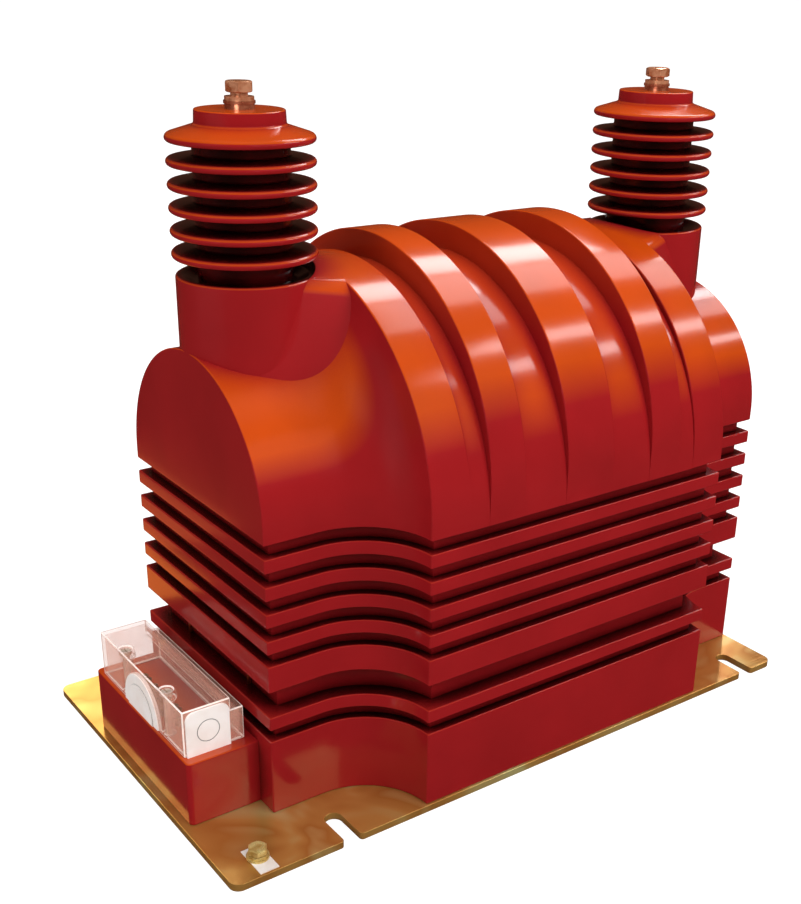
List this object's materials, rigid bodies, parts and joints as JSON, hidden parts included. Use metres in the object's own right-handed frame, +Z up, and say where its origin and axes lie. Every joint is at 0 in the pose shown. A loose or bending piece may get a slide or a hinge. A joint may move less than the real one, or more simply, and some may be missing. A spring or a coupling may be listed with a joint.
{
  "type": "voltage transformer",
  "caption": "Cast-resin indoor voltage transformer with ribbed body, ringed arch, shedded bushings, clear terminal cover and slotted steel base plate.",
  "frame": {"origin": "centre of the base plate's underside", "axes": "+X along the transformer from the low-voltage terminal box to the other end, +Y across it away from the earthing screw, +Z up"},
  "size_m": [0.564, 0.325, 0.522],
  "materials": {
    "red_resin": "glossy cast epoxy resin, brick red",
    "passivated_steel": "yellow-passivated sheet steel",
    "copper_alloy": "rosy copper-plated hardware",
    "copper": "enamelled copper",
    "brass": "plain brass",
    "core_steel": "laminated silicon steel",
    "plain_steel": "zinc plated",
    "yellow_zinc": "yellow zinc plated",
    "pressboard": "varnished pressboard",
    "clear_cover": "clear moulded plastic",
    "white_plastic": "white moulded plastic",
    "white_tag": "bare white plastic"
  },
  "bodies": {
    "root": {"base_plate": "passivated_steel", "resin_body": "red_resin", "hv_inserts": "copper_alloy", "hv_bolts": "copper_alloy", "hv_spring_washers": "copper_alloy", "hv_flat_washers": "copper_alloy", "hv_leads": "copper", "core_halves": "core_steel", "core_straps": "plain_steel", "coil_former": "pressboard", "secondary_winding": "copper", "primary_winding": "copper", "terminal_cover": "clear_cover", "cover_screws": "plain_steel", "cover_inserts": "brass", "end_plug": "white_plastic", "front_plug": "white_plastic", "secondary_studs": "brass", "secondary_washers": "brass", "secondary_nuts": "brass", "secondary_leads": "copper", "earth_bolt": "yellow_zinc", "earth_spring_washer": "yellow_zinc", "earth_washer": "yellow_zinc", "earth_tag": "white_tag", "foot_screws": "plain_steel", "foot_inserts": "brass"}
  },
  "joints": []
}
